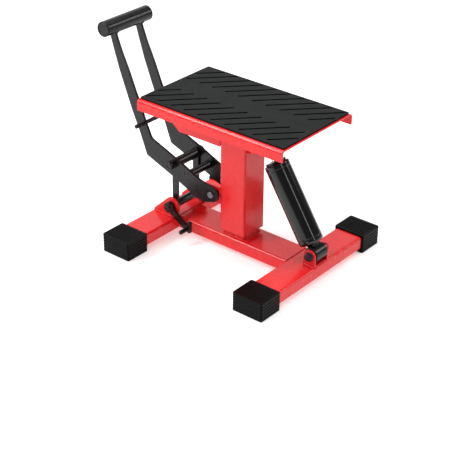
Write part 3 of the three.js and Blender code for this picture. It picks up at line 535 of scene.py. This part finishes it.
def mat_piece():
    floor_z = MAT_TOP - 2.3
    low = plate([rounded(-MAT_X + 0.15, MAT_X - 0.15, -MAT_Y + 0.15, MAT_Y - 0.15, 3)], TRAY_TOP + 0.15, floor_z, "XY", 0.25, 1)
    holes = []
    for ya, yb, x0 in ((-101.0, -25.0, -185.5), (26.0, 107.0, -180.5)):
        for k in range(-1, 10):
            a = [x0 + 36.2 * k, ya]; c = [a[0] + (yb - ya) * 0.95, yb]
            m = (c[1] - a[1]) / (c[0] - a[0]); lim = MAT_X - 5
            if a[0] < -lim: a = [-lim, a[1] + m * (-lim - a[0])]
            if c[0] > lim: c = [lim, c[1] - m * (c[0] - lim)]
            if c[0] - a[0] < 8: continue
            ang = math.atan2(c[1] - a[1], c[0] - a[0]); L = math.hypot(c[0] - a[0], c[1] - a[1]); w = 2.6
            loop = arc(L / 2 - w, 0, w, -h, h, 8) + arc(-L / 2 + w, 0, w, h, 3 * h, 8)
            mx, my = (a[0] + c[0]) / 2, (a[1] + c[1]) / 2
            holes.append([(mx + u * math.cos(ang) - v * math.sin(ang), my + u * math.sin(ang) + v * math.cos(ang)) for u, v in loop])
    up = plate([rounded(-MAT_X, MAT_X, -MAT_Y, MAT_Y, 3)] + holes, floor_z - 0.05, MAT_TOP, "XY", 0.6, 3)
    return join(low, up)
piece("mat", mat_piece(), "lift", MATR, ["rubber_mat"], 50)

for s, sy in (("near", -1), ("far", 1)):
    ya, yb = (-35.5, -32.0) if sy < 0 else (32.0, 35.5)
    piece(f"gusset_{s}", plate([filleted([(-COL_X - 0.1, top), (-182, top), (-182, 272, 3), (-168.5, 262.5, 6), (-149, 246.5, 8), (-COL_X - 0.1, 246.5)])],
                               ya, yb, "XZ", 0.7), "lift", RED, [f"under_gusset_{s}"])
    pa, pb = (-33.5, -28.5) if sy < 0 else (28.5, 33.5)
    piece(f"ear_column_{s}", plate([filleted([(-COL_X - 0.1, 109.5), (-77, 109.5, 9), (-77, 147.5, 9), (-COL_X - 0.1, 147.5)]),
                                    rounded(SLOT_X[0], SLOT_X[1], HEEL[1] - SLOT_R, HEEL[1] + SLOT_R, 5.6, 8)], pa, pb, "XZ", 0.6),
          "lift", RED, [f"column_ear_{s}"])
dx, dz = DAMP1
x0 = COL_X + 0.1
# a bent U standing on the front of the column, arms forward
def u_front(u, v, w): return (x0 + (v - 0.0), u, w)
sec = u_section(0.0, 80.0, CLEV_IN, CLEV_OUT, 2.5, 5.0)
side = [(x0 - 5, dz - 24), (x0 + 5, dz - 24), (dx, dz - 14)] + arc(dx, dz, 14, -math.pi / 2, math.pi / 2, 28)[1:] + [(x0 + 5, dz + 19), (x0 - 5, dz + 19)]
me = cut(plate([sec], dz - 60, dz + 60, "XY", 0.01, 1, put=u_front), plate([side, circle(dx, dz, 6.2, 40)], -60, 60, "XZ", 0.01, 1))
piece("bracket_upper", None, "lift", RED, ["damper_upper_bracket"], 40, edge_round(me, 0.7, 3, 35))

# ---------------------------------------------------------------- links
def dogbone(a, b, rb, w):
    """Round ends joined by a narrower bar, upright in x, z."""
    L = b[1] - a[1]; th = math.asin(w / rb)
    up = arc(a[0], b[1], rb, -h + th, h * 3 - th, 40)
    dn = arc(a[0], a[1], rb, h + th, h * 5 - th, 40)
    return up + dn
for s, sy in (("near", -1), ("far", 1)):
    ya, yb = min(sy * LINK_IN, sy * LINK_OUT), max(sy * LINK_IN, sy * LINK_OUT)
    piece(f"link_{s}", plate([dogbone(AXLE, FULC, 12.0, 8.3), circle(*AXLE, 6.3, 36), circle(*FULC, 7.2, 36)], ya, yb, "XZ", 0.7),
          "links", BLACK, [f"link_bar_{s}"])
    c0, c1 = min(sy * (LINK_OUT + 0.1), sy * (EAR_IN - 0.3)), max(sy * (LINK_OUT + 0.1), sy * (EAR_IN - 0.3))
    piece(f"spacer_axle_{s}", ring_y(9, 6.2, c0, c1, AXLE), "links", BLACK, [f"axle_spacer_{s}"])
piece("sleeve_axle", ring_y(9, 6.2, -LINK_IN + 0.1, LINK_IN - 0.1, AXLE, 64), "links", BLACK, ["axle_sleeve"])
piece("tube_fulcrum", ring_y(11, 7.2, -LINK_IN + 0.1, LINK_IN - 0.1, FULC, 64), "links", BLACK, ["fulcrum_tube"])

# ---------------------------------------------------------------- lever
lever = filleted([
    (-339.5, 435, 0), (-338.5, 424, 60), (-328, 390, 0), (-314, 348, 0), (-297, 305, 0), (-280, 263, 0), (-256.5, 212, 0),
    (-238.5, 165.5, 6), (-161, 136.8, 0), (-123, 120.6, 0), (-97, 108.5, 10), (-74, 103.6, 8), (-40, 114.8, 8), (-31.8, 130, 9), (-36, 142.5, 8),
    (-88, 155, 20), (-145, 179.6, 0), (-224, 209.5, 16), (-242, 246, 0), (-250, 267.5, 0), (-269, 309.5, 0),
    (-287, 351.5, 0), (-307, 392.4, 0), (-319.5, 423, 0), (-322.5, 435, 0)], 5)
for s, sy in (("near", -1), ("far", 1)):
    ya, yb = min(sy * BAR_IN, sy * BAR_OUT), max(sy * BAR_IN, sy * BAR_OUT)
    bar = plate([lever, circle(*FULC, 7.2, 36), circle(*HEEL, 5.2, 32), circle(*ROD_HOLE, 4.7, 28)], ya, yb, "XZ", 0.8)
    # ground-back plug weld where the spacer passes through the bar
    yo = ya if sy < 0 else yb
    plug = lathe(soften([(0, yo + sy * 0.12), (5.6, yo + sy * 0.16), (7.4, yo + sy * 0.5), (8.6, yo + sy * 0.42), (9.4, yo - sy * 0.5)], 0.5), along_y(SPACER), 48)
    piece(f"lever_{s}", join(bar, plug), "lever", BLACK, [f"lever_bar_{s}"])
piece("grip_tube", ring_y(17, 14.4, -67, 67, GRIP, 80), "lever", BLACK, ["handle_tube"])
for s, sy in (("near", -1), ("far", 1)):
    prof = [(0, 68.9), (12.9, 69.0), (13.5, 69.3), (14.2, 70.2), (15.8, 70.3, 0.8), (17.0, 69.2, 0.7), (17.0, 67.2), (14.2, 67.2), (14.2, 53), (0, 53)]
    piece(f"grip_cap_{s}", turned([(p[0], sy * p[1]) + tuple(p[2:]) for p in prof], GRIP, 80, 0.3), "lever", CAPP, [f"handle_end_cap_{s}"])
piece("rod_cross", turned([(0, -67), (3.5, -67), (4.5, -66), (4.5, 46), (3.5, 47), (0, 47)], ROD_HOLE, 40, 0.4), "lever", BLACK, ["cross_rod"])
piece("spacer_lever", turned([(0, -BAR_IN + 0.1), (9, -BAR_IN + 0.1), (9, BAR_IN - 0.1), (0, BAR_IN - 0.1)], SPACER, 56, 0.3), "lever", BLACK, ["lever_spacer"])
piece("pin_fulcrum", turned([(0, -57.0), (3.0, -57.0), (3.6, -57.4), (8.0, -57.5), (9.2, -56.3), (9.2, -48.6), (8.6, -48.3), (8.6, -47.6), (9.2, -47.3), (9.2, -BAR_OUT - 0.1), (7, -BAR_OUT - 0.1),
                            (7, 52.8), (6.0, 54), (0, 54)], FULC, 64, 0.25), "lever", BLACK, ["fulcrum_axle"])
piece("nut_fulcrum", join(hexhead(FULC, BAR_OUT + 1.5, BAR_OUT + GAP + 9, 21.6, 1, bore=7.05, turn=0.15),
                          ring_y(12.0, 7.2, BAR_OUT + 0.1, BAR_OUT + 1.7, FULC, 56, 0.3)), "lever", BOLT, ["fulcrum_nut"], 30)
piece("bolt_pivot", turned([(0, -46.2), (2.6, -46.2), (3.0, -45.8), (3.5, -46.3), (5.6, -46.6), (7.1, -45.4), (7.5, -44.3), (7.5, -BAR_OUT - 0.1), (5, -BAR_OUT - 0.1), (5, 50.8), (4.2, 52), (0, 52)], HEEL, 56, 0.2),
      "lever", PIN, ["pivot_bolt"])
piece("nut_pivot", hexhead(HEEL, BAR_OUT + 0.2, BAR_OUT + GAP + 7, 15.8, 1, bore=5.05, turn=0.2), "lever", PIN, ["pivot_nut"], 30)

# ---------------------------------------------------------------- foot pedal
tip = (-106.5, 31.5)
ang = math.atan2(tip[1] - AXLE[1], tip[0] - AXLE[0]); plen = math.hypot(tip[0] - AXLE[0], tip[1] - AXLE[1])
yo, yi = -EAR_OUT - 12.3, -EAR_OUT - GAP
piece("pedal_pin", turned([(0, -EAR_OUT - 14.2), (3.4, -EAR_OUT - 14.2), (5, -EAR_OUT - 14.6), (6, -EAR_OUT - 13.6), (6, EAR_OUT + 11), (5, EAR_OUT + 12), (0, EAR_OUT + 12)], AXLE, 48, 0.3),
      "pedal", BOLT, ["pedal_shaft"])
ca, sa = math.cos(ang), math.sin(ang)
def tilted(u, v, w): return (AXLE[0] + u * ca - v * sa, w, AXLE[1] + u * sa + v * ca)
arm = plate([filleted([(8, -9.4, 0), (plen, -8.2, 0), (plen + 6, -4.8, 4), (plen + 6, 4.8, 4), (plen, 5.4, 0), (8, 6.2, 0)])], yo + 2.3, yo + 8.3, "XZ", 0.9, put=tilted)
hub = ring_y(12, 6.2, yo, yi, AXLE, 64, 0.8)
tab = plate([filleted([(-107, 22.5, 3), (-97.5, 22.5, 3), (-97.5, 50.5, 3), (-107, 50.5, 3)])], yo + 1.5, yo + 8.3, "XZ", 0.9)
piece("pedal_lever", join(arm, hub, tab), "pedal", BLACK, ["pedal_arm"])
piece("pedal_foot_peg", turned([(0, yo - 21), (3.8, yo - 21), (5, yo - 19.9), (5, yo + 3.8), (0, yo + 3.8)], tip, 40, 0.4), "pedal", BLACK, ["pedal_peg"])
piece("pedal_pin_nut", join(hexhead(AXLE, EAR_OUT + 1.4, EAR_OUT + GAP + 8, 17.8, 1, bore=6.05, turn=0.25), ring_y(10.2, 6.1, EAR_OUT + 0.1, EAR_OUT + 1.5, AXLE, 56, 0.3)),
      "pedal", BOLT, ["pedal_nut"], 30)

# ---------------------------------------------------------------- damper
body = [(0, 20.5), (16.5, 20.6), (20.5, 21.2), (23.6, 22.6), (25.8, 25.0), (26.8, 28.4), (26.9, 33.0), (26.5, 33.8), (26.5, 35.2), (26.9, 36.0),
        (26.9, 191.0), (26.5, 191.8), (26.5, 193.2), (27.0, 194.0), (27.0, 201.5), (26.4, 203.8), (25.0, 205.0), (21, 205), (21, 26), (0, 26)]
piece("cylinder", lathe(soften(body, 0.7, 3), along_d, 96), "damper_cylinder", GLOSS, ["damper_body"], 60)
gl = [(ROD_R + 0.25, 190), (20.8, 190), (20.8, 205.3), (22.3, 205.4), (22.3, 208.4), (20.6, 210.3), (13.5, 210.4), (12.6, 209.2), (9.6, 209.0), (8.8, 210.2), (ROD_R + 0.25, 210.4)]
piece("gland", lathe(soften(gl, 0.5, 2, closed=True), along_d, 80, closed=True), "damper_cylinder", GLOSS, ["damper_gland"], 50)
def eye(c, neck):
    ring = ring_y(EYE_R, 10, -EYE_HALF, EYE_HALF, c, 72, 1.1)
    return join(ring, lathe(soften(neck, 0.8, 3), along_d, 56))
piece("eye_lower", eye(DAMP0, [(0, 12), (12.5, 12), (12.5, 17.5), (13.2, 19.2), (13.8, 20.9), (0, 20.9)]), "damper_cylinder", BLACK, ["damper_lower_eye"], 45)
piece("bush_lower", ring_y(9.8, 6.2, -EYE_HALF - 0.2, EYE_HALF + 0.2, DAMP0, 56, 0.6), "damper_cylinder", FOOT, ["lower_eye_bush"])
piece("rod", lathe(soften([(0, 36), (6, 36), (ROD_R, 37), (ROD_R, DLEN - 27), (0, DLEN - 27)], 0.3), along_d, 64), "damper_plunger", CHROME, ["damper_rod"])
piece("piston", lathe(soften([(ROD_R + 0.2, 40), (20.6, 40), (20.6, 44.5), (19.6, 45), (19.6, 49), (20.6, 49.5), (20.6, 54), (ROD_R + 0.2, 54)], 0.3, closed=True), along_d, 64, closed=True),
      "damper_plunger", STEEL, ["damper_piston"])
piece("eye_upper", eye(DAMP1, [(0, DLEN - 27.2), (9.0, DLEN - 27.2), (10.4, DLEN - 26.2), (10.8, DLEN - 22), (11.6, DLEN - 18), (12.6, DLEN - 13), (0, DLEN - 13)]), "damper_plunger", BLACK, ["damper_upper_eye"], 45)

# ---------------------------------------------------------------- welds
def rect_path(x0, x1, y0, y1, z, r=4.0):
    return [(x, y, z) for x, y in rounded(x0, x1, y0, y1, r, 4)]
Z = (0, 0, 1)
base_welds = [
    bead(rect_path(-MAST - 0.6, MAST + 0.6, -MAST - 0.6, MAST + 0.6, BAR_Z1 + 0.3), 2.3, Z, closed=True, seed=1),
]
for q, sx in enumerate((-1, 1)):
    xw = sx * (hx + 0.2)
    base_welds.append(bead([(xw, -BEAM_HALF_Y + 2.5, BAR_Z1 - 0.75), (xw, BEAM_HALF_Y - 2.5, BAR_Z1 - 0.75)], 1.15, Z, 2.2, seed=3 + q, squash=0.95))
    base_welds.append(bead([(xw, -BEAM_HALF_Y + 2.5, BAR_Z0 + 0.6), (xw, BEAM_HALF_Y - 2.5, BAR_Z0 + 0.6)], 1.3, Z, 2.2, seed=5 + q))
    for sy in (-1, 1):
        base_welds.append(bead([(xw - sx * 0.3, sy * (BEAM_HALF_Y + 0.2), BAR_Z0 + 3.5), (xw - sx * 0.3, sy * (BEAM_HALF_Y + 0.2), BAR_Z1 - 4.0)], 2.6, (sx, 0, 0), 2.6, seed=7 + q))
for sy in (-1, 1):
    for yy, rr in ((sy * (EAR_OUT + 0.4), 2.2), (sy * (EAR_IN - 0.4), 2.0)):
        base_welds.append(bead([(-213, yy, BAR_Z1 + 0.5), (-150.5, yy, BAR_Z1 + 0.5)], rr, Z, 2.5, seed=11 + sy))
cx = DAMP0[0]
base_welds.append(bead(rect_path(cx - 17.4, cx + 14.9, -CLEV_OUT + 3.0, CLEV_OUT - 3.0, BAR_Z1 + 0.3, 1.0), 2.1, Z, 2.5, closed=True, seed=14))
base_welds.append(bead([(cx - 14, -CLEV_OUT + 0.8, BAR_Z1 + 0.5), (cx + 12, -CLEV_OUT + 0.8, BAR_Z1 + 0.5)], 2.4, Z, 2.5, seed=15))
base_welds.append(bead([(cx - 14, CLEV_OUT - 0.8, BAR_Z1 + 0.5), (cx + 12, CLEV_OUT - 0.8, BAR_Z1 + 0.5)], 2.4, Z, 2.5, seed=16))
piece("welds_base", join(*base_welds), "base", RED, smooth=70)

lift_welds = [bead(rect_path(-COL_X - 0.4, COL_X + 0.4, -COL_Y - 0.4, COL_Y + 0.4, top - 0.4, 5.0), 2.2, Z, closed=True, seed=21)]
for sy in (-1, 1):
    for yy in (sy * 35.8, sy * 31.7):
        lift_welds.append(bead([(-178, yy, top - 0.3), (-COL_X - 4, yy, top - 0.3)], 1.7, Z, 2.3, seed=22 + sy))
    lift_welds.append(bead([(-COL_X - 0.3, sy * 31.7, 249), (-COL_X - 0.3, sy * 31.7, top - 3)], 1.7, (1, 0, 0), 2.3, seed=25 + sy))
    for yy in (sy * 33.7, sy * 28.3):
        lift_welds.append(bead([(-COL_X - 0.4, yy, 111), (-COL_X - 0.4, yy, 146)], 1.9, (1, 0, 0), 2.4, seed=27 + sy))
dx, dz = DAMP1
for sy in (-1, 1):
    lift_welds.append(bead([(COL_X + 0.4, sy * (CLEV_OUT - 1.2), dz - 22), (COL_X + 0.4, sy * (CLEV_OUT - 1.2), dz + 17)], 2.1, (1, 0, 0), 2.5, seed=30 + sy))
for zz in (dz - 23.9, dz + 19.0):
    lift_welds.append(bead([(COL_X + 0.4, -CLEV_OUT + 4, zz), (COL_X + 0.4, CLEV_OUT - 4, zz)], 2.0, (1, 0, 0), 2.5, seed=33))
piece("welds_lift", join(*lift_welds), "lift", RED, smooth=70)

def ring_path(c, r, y, a0=0.0, a1=2 * math.pi, n=48):
    k = n if abs(a1 - a0 - 2 * math.pi) < 1e-6 else n + 1
    return [(c[0] + r * math.cos(a0 + (a1 - a0) * i / n), y, c[1] + r * math.sin(a0 + (a1 - a0) * i / n)) for i in range(k)]
Y = (0, 1, 0)
lw = []
for sy in (-1, 1):
    lw.append(bead(ring_path(SPACER, 9.2, sy * (BAR_IN - 0.6)), 1.7, Y, 2.2, closed=True, seed=40 + sy))
    lw.append(bead(ring_path(ROD_HOLE, 4.8, sy * (BAR_OUT + 0.1)), 1.3, Y, 1.9, closed=True, seed=44 + sy))
    lw.append(bead(ring_path(ROD_HOLE, 4.8, sy * (BAR_IN - 0.1)), 1.2, Y, 1.9, closed=True, seed=46 + sy))
    for yy in (sy * (BAR_OUT + 0.6), sy * (BAR_IN - 0.6)):
        lw.append(bead(ring_path(GRIP, 16.9, yy, math.radians(222), math.radians(330), 24), 1.9, Y, 2.3, seed=50 + sy))
piece("welds_lever", join(*lw), "lever", BLACK, smooth=70)
kw = []
for sy in (-1, 1):
    kw.append(bead(ring_path(FULC, 11.1, sy * (LINK_IN - 0.6)), 1.1, Y, 2.0, closed=True, seed=60 + sy))
    kw.append(bead(ring_path(AXLE, 9.1, sy * (LINK_IN - 0.6)), 1.3, Y, 2.0, closed=True, seed=62 + sy))
piece("welds_links", join(*kw), "links", BLACK, smooth=70)
pw = [bead([tilted(9.2, -8.2, yo + 2.4), tilted(11.9, 5.6, yo + 2.4)], 1.5, Y, 2.0, seed=70),
      bead(ring_path(tip, 5.1, yo + 1.9), 1.2, Y, 1.9, closed=True, seed=71)]
piece("welds_pedal", join(*pw), "pedal", BLACK, smooth=70)
def ring_d(r, t, n=48):
    return [along_d(r * math.cos(2 * math.pi * i / n), r * math.sin(2 * math.pi * i / n), t) for i in range(n)]
piece("welds_damper", bead(ring_d(13.6, 20.7), 1.5, tuple(DV), 2.2, closed=True, seed=80), "damper_cylinder", BLACK, smooth=70)

# ---------------------------------------------------------------- studio
def flat(name, verts, mat):
    me = bpy.data.meshes.new(name); me.from_pydata(verts, [], [(0, 1, 2, 3)]); me.materials.append(mat)
    o = bpy.data.objects.new(name, me); bpy.context.scene.collection.objects.link(o); return o
fm = Nodes("studio_floor")
fm.b.inputs["Base Color"].default_value = (0.80, 0.80, 0.80, 1); fm.b.inputs["Roughness"].default_value = 0.9
fm.b.inputs["Emission Color"].default_value = (1, 1, 1, 1); fm.b.inputs["Emission Strength"].default_value = 0.42
fm.b.inputs["Specular IOR Level"].default_value = 0.1
flat("floor", [(-14, -14, 0), (14, -14, 0), (14, 14, 0), (-14, 14, 0)], fm.m)
def area_light(name, loc, aim, size, power, sy=None, color=(1, 1, 1), up=None):
    l = bpy.data.lights.new(name, "AREA"); l.energy = power; l.color = color
    l.shape = "RECTANGLE" if sy else "SQUARE"; l.size = size
    if sy: l.size_y = sy
    o = bpy.data.objects.new(name, l); bpy.context.scene.collection.objects.link(o)
    o.location = loc
    if up:
        bz = (Vector(loc) - Vector(aim)).normalized()
        by = (Vector(up) - bz * Vector(up).dot(bz)).normalized()
        o.rotation_euler = Matrix((by.cross(bz), by, bz)).transposed().to_euler()
    else:
        o.rotation_euler = (Vector(aim) - Vector(loc)).to_track_quat("-Z", "Y").to_euler()
    return o
area_light("overhead", (0.1, 0.1, 2.6), (0, 0, 0), 2.4, 58)
area_light("key_left", (-1.55, -2.1, 1.9), (0, 0, 0.2), 1.5, 24)
area_light("fill_right", (1.9, 2.1, 1.7), (0, 0, 0.2), 1.0, 17)
area_light("strip_right", (2.81, -0.69, 1.43), (0.2, 0, 0.17), 0.25, 6, 1.2)
area_light("panel_lip", (-1.44, -1.27, 2.1), (0, -0.1, 0.3), 0.5, 40, 2.4, up=(0, 0.84, 0.54))
area_light("back_wall", (-1.7, 2.1, 1.5), (0, 0, 0.2), 1.7, 8)
w = bpy.data.worlds.new("studio"); bpy.context.scene.world = w; w.use_nodes = True
w.node_tree.nodes["Background"].inputs[0].default_value = (1, 1, 1, 1)
w.node_tree.nodes["Background"].inputs[1].default_value = 0.20
vs = bpy.context.scene.view_settings
vs.view_transform = "Standard"; vs.look = "None"; vs.exposure = 0.0; vs.gamma = 1.0

# ---------------------------------------------------------------- camera
cam = bpy.data.cameras.new("camera"); co = bpy.data.objects.new("camera", cam); bpy.context.scene.collection.objects.link(co)
cam.sensor_width = 36.0; cam.lens = 101.68; cam.clip_start = 0.05; cam.clip_end = 60
rt, up, bk = Vector((0.7689, 0.6393, 0.0059)), Vector((-0.3191, 0.3757, 0.8700)), Vector((0.5540, -0.6709, 0.4929))
m = Matrix((rt, up, bk)).transposed().to_4x4(); m.translation = Vector(((1509.5 + SX) / 1000, -1.8855, 1.4226))
co.matrix_world = m
bpy.context.scene.camera = co
